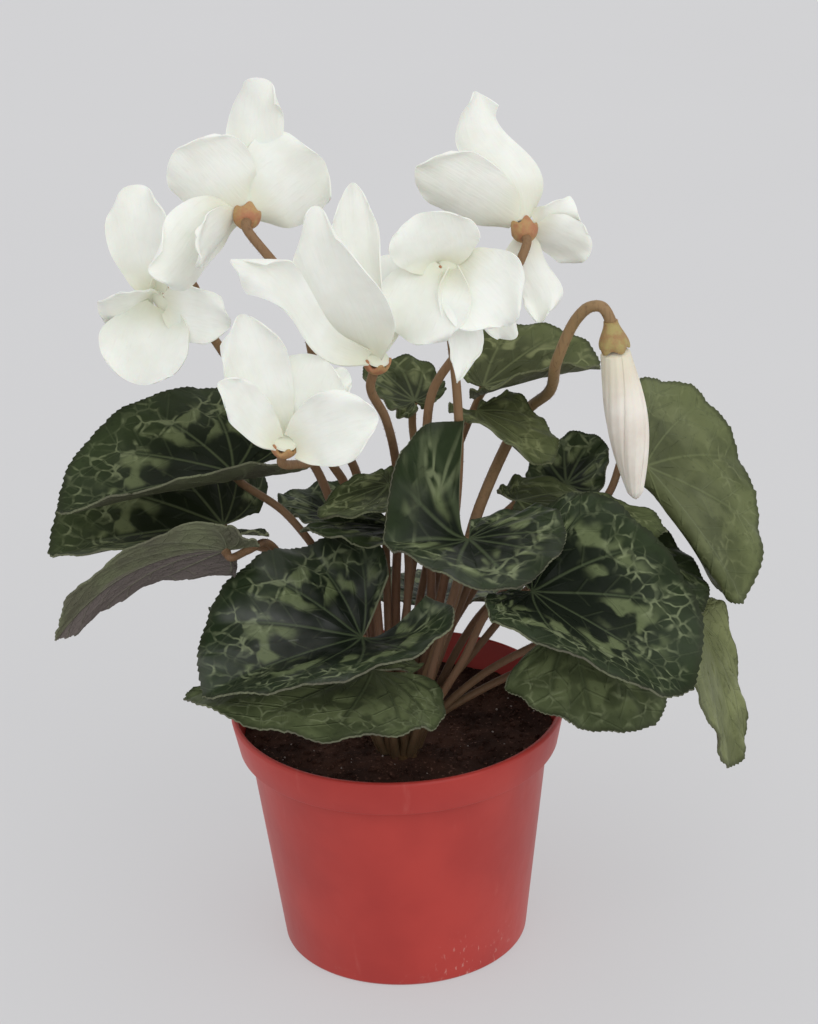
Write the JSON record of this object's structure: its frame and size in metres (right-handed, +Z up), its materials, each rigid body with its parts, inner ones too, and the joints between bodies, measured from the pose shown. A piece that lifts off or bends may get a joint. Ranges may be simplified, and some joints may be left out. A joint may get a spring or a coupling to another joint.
{
  "type": "potted cyclamen",
  "caption": "Flowering cyclamen in a plain round plastic nursery pot: marbled heart-shaped leaves on fleshy stalks, white reflexed blooms and a hanging bud above dark soil.",
  "frame": {"origin": "centre of the flat underside of the pot, where it rests", "axes": "+Z up; the pot turns round Z; the side of the plant seen in the picture looks along -Y, with +X to its right"},
  "size_m": [0.2535, 0.1767, 0.327],
  "materials": {
    "pot": "thin moulded plastic, soft gloss, lightly scuffed and dusty near the foot",
    "soil": "dark damp peat, crumbly and matt",
    "crown": "rough brown tuber top, matt",
    "stalk": "smooth fleshy red-brown stalk, soft sheen",
    "leaf": "dark green with a silver-green marbled band and pale veins, waxy soft sheen",
    "petal": "soft white petal, matt"
  },
  "bodies": {
    "root": {"pot": "pot", "soil": "soil", "crown": "crown", "leaf_01_blade": "leaf", "leaf_01_stalk": "stalk", "leaf_02_blade": "leaf", "leaf_02_stalk": "stalk", "leaf_03_blade": "leaf", "leaf_03_stalk": "stalk", "leaf_04_blade": "leaf", "leaf_04_stalk": "stalk", "leaf_05_blade": "leaf", "leaf_05_stalk": "stalk", "leaf_06_blade": "leaf", "leaf_06_stalk": "stalk", "leaf_07_blade": "leaf", "leaf_07_stalk": "stalk", "leaf_08_blade": "leaf", "leaf_08_stalk": "stalk", "leaf_09_blade": "leaf", "leaf_09_stalk": "stalk", "leaf_10_blade": "leaf", "leaf_10_stalk": "stalk", "leaf_11_blade": "leaf", "leaf_11_stalk": "stalk", "leaf_12_blade": "leaf", "leaf_12_stalk": "stalk", "leaf_13_blade": "leaf", "leaf_13_stalk": "stalk", "leaf_14_blade": "leaf", "leaf_14_stalk": "stalk", "leaf_15_blade": "leaf", "leaf_15_stalk": "stalk", "leaf_16_blade": "leaf", "leaf_16_stalk": "stalk", "leaf_17_blade": "leaf", "leaf_17_stalk": "stalk", "leaf_18_blade": "leaf", "leaf_18_stalk": "stalk", "leaf_19_blade": "leaf", "leaf_19_stalk": "stalk", "leaf_20_blade": "leaf", "leaf_20_stalk": "stalk", "leaf_21_blade": "leaf", "leaf_21_stalk": "stalk", "flower_1_petals": "petal", "flower_1_stalk": "stalk", "flower_2_petals": "petal", "flower_2_stalk": "stalk", "flower_3_petals": "petal", "flower_3_stalk": "stalk", "flower_4_petals": "petal", "flower_4_stalk": "stalk", "flower_5_petals": "petal", "flower_5_stalk": "stalk", "flower_6_petals": "petal", "flower_6_stalk": "stalk", "bud_petals": "petal", "bud_stalk": "stalk"}
  },
  "joints": []
}
